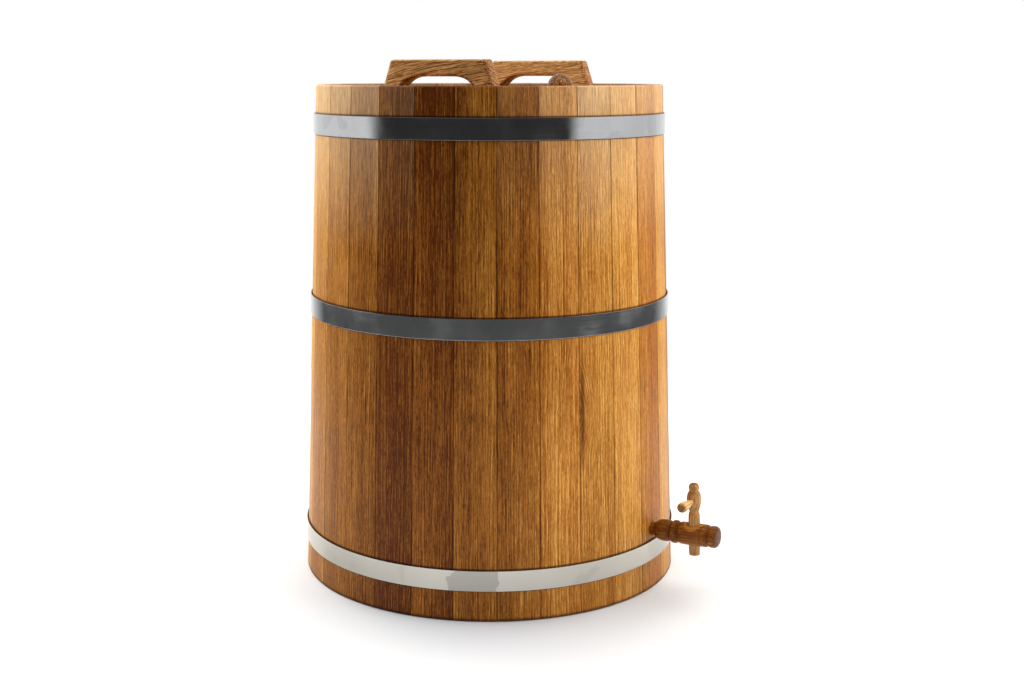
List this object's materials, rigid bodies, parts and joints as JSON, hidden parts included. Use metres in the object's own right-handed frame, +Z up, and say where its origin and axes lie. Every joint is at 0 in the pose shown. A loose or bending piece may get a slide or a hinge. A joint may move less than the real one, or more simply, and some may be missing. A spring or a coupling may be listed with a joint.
{
  "type": "barrel with a tap",
  "caption": "Conical stave-built oak barrel with riveted steel hoops, a lift-off lid with arched wooden handles and a ball bung, and a turned wooden tap low on its wall.",
  "frame": {"origin": "on the floor, at the middle of the floor area that the barrel and its tap cover", "axes": "+Z up along the barrel's own axis, -Y the way the tap points, +X to the right as the tap is seen from the front"},
  "size_m": [0.485, 0.574, 0.65],
  "materials": {
    "bottom_rivet_1": "steel rivet",
    "bottom_rivet_2": "steel rivet",
    "bung": "turned mid-brown wood, lacquered",
    "handle_left": "varnished oak with long wavy grain",
    "handle_right": "varnished oak with long wavy grain",
    "head_board_1": "bare oak",
    "head_board_2": "bare oak",
    "head_board_3": "bare oak",
    "head_board_4": "bare oak",
    "head_board_5": "bare oak",
    "hoop_bottom": "galvanised steel strip, lightly rubbed",
    "hoop_middle": "galvanised steel strip, lightly rubbed",
    "hoop_top": "galvanised steel strip, lightly rubbed",
    "lid_batten_left": "oiled oak",
    "lid_batten_right": "oiled oak",
    "lid_board_1": "oiled oak",
    "lid_board_2": "oiled oak",
    "lid_board_3": "oiled oak",
    "lid_board_4": "oiled oak",
    "lid_board_5": "oiled oak",
    "lid_screw_1": "zinc-plated steel screw",
    "lid_screw_2": "zinc-plated steel screw",
    "lid_screw_3": "zinc-plated steel screw",
    "lid_screw_4": "zinc-plated steel screw",
    "middle_rivet_1": "steel rivet",
    "middle_rivet_2": "steel rivet",
    "stave_02": "oiled oak with vertical grain, satin",
    "stave_03": "oiled oak with vertical grain, satin",
    "stave_04": "oiled oak with vertical grain, satin",
    "stave_05": "oiled oak with vertical grain, satin",
    "stave_06": "oiled oak with vertical grain, satin",
    "stave_07": "oiled oak with vertical grain, satin",
    "stave_08": "oiled oak with vertical grain, satin",
    "stave_09": "oiled oak with vertical grain, satin",
    "stave_10": "oiled oak with vertical grain, satin",
    "stave_11": "oiled oak with vertical grain, satin",
    "stave_12": "oiled oak with vertical grain, satin",
    "stave_13": "oiled oak with vertical grain, satin",
    "stave_14": "oiled oak with vertical grain, satin",
    "stave_15": "oiled oak with vertical grain, satin",
    "stave_16": "oiled oak with vertical grain, satin",
    "stave_17": "oiled oak with vertical grain, satin",
    "stave_18": "oiled oak with vertical grain, satin",
    "stave_19": "oiled oak with vertical grain, satin",
    "stave_20": "oiled oak with vertical grain, satin",
    "stave_21": "oiled oak with vertical grain, satin",
    "stave_22": "oiled oak with vertical grain, satin",
    "stave_23": "oiled oak with vertical grain, satin",
    "stave_24": "oiled oak with vertical grain, satin",
    "stave_25": "oiled oak with vertical grain, satin",
    "stave_26": "oiled oak with vertical grain, satin",
    "stave_27": "oiled oak with vertical grain, satin",
    "stave_28": "oiled oak with vertical grain, satin",
    "stave_29": "oiled oak with vertical grain, satin",
    "tap_body": "turned dark wood, lacquered",
    "tap_key": "turned mid-brown wood, lacquered",
    "tap_lever": "turned light wood",
    "tap_stave": "oiled oak with vertical grain, satin",
    "top_rivet_1": "steel rivet",
    "top_rivet_2": "steel rivet"
  },
  "bodies": {
    "barrel": {"stave_02": "stave_02", "stave_03": "stave_03", "stave_04": "stave_04", "stave_05": "stave_05", "stave_06": "stave_06", "stave_07": "stave_07", "stave_08": "stave_08", "stave_09": "stave_09", "stave_10": "stave_10", "stave_11": "stave_11", "stave_12": "stave_12", "stave_13": "stave_13", "stave_14": "stave_14", "stave_15": "stave_15", "stave_16": "stave_16", "stave_17": "stave_17", "stave_18": "stave_18", "stave_19": "stave_19", "stave_20": "stave_20", "stave_21": "stave_21", "stave_22": "stave_22", "stave_23": "stave_23", "stave_24": "stave_24", "stave_25": "stave_25", "stave_26": "stave_26", "stave_27": "stave_27", "stave_28": "stave_28", "stave_29": "stave_29", "tap_stave": "tap_stave", "head_board_1": "head_board_1", "head_board_2": "head_board_2", "head_board_3": "head_board_3", "head_board_4": "head_board_4", "head_board_5": "head_board_5", "hoop_bottom": "hoop_bottom", "hoop_middle": "hoop_middle", "hoop_top": "hoop_top", "bottom_rivet_1": "bottom_rivet_1", "bottom_rivet_2": "bottom_rivet_2", "middle_rivet_1": "middle_rivet_1", "middle_rivet_2": "middle_rivet_2", "top_rivet_1": "top_rivet_1", "top_rivet_2": "top_rivet_2", "tap_body": "tap_body"},
    "lid": {"handle_left": "handle_left", "handle_right": "handle_right", "lid_batten_left": "lid_batten_left", "lid_batten_right": "lid_batten_right", "lid_board_1": "lid_board_1", "lid_board_2": "lid_board_2", "lid_board_3": "lid_board_3", "lid_board_4": "lid_board_4", "lid_board_5": "lid_board_5", "lid_screw_1": "lid_screw_1", "lid_screw_2": "lid_screw_2", "lid_screw_3": "lid_screw_3", "lid_screw_4": "lid_screw_4"},
    "bung": {"bung": "bung"},
    "tap_key": {"tap_key": "tap_key", "tap_lever": "tap_lever"}
  },
  "joints": [
    {"name": "lid_lift", "type": "slide", "parent": "barrel", "child": "lid", "axis": [0, 0, 1], "range_m": [0, 0.3]},
    {"name": "bung_lift", "type": "slide", "parent": "lid", "child": "bung", "axis": [0, 0, 1], "range_m": [0, 0.06]},
    {"name": "tap_key_turn", "type": "hinge", "parent": "barrel", "child": "tap_key", "pos_m": [0, -0.25345, 0.0788], "axis": [0, 0.0403, 0.9992], "continuous": true}
  ]
}
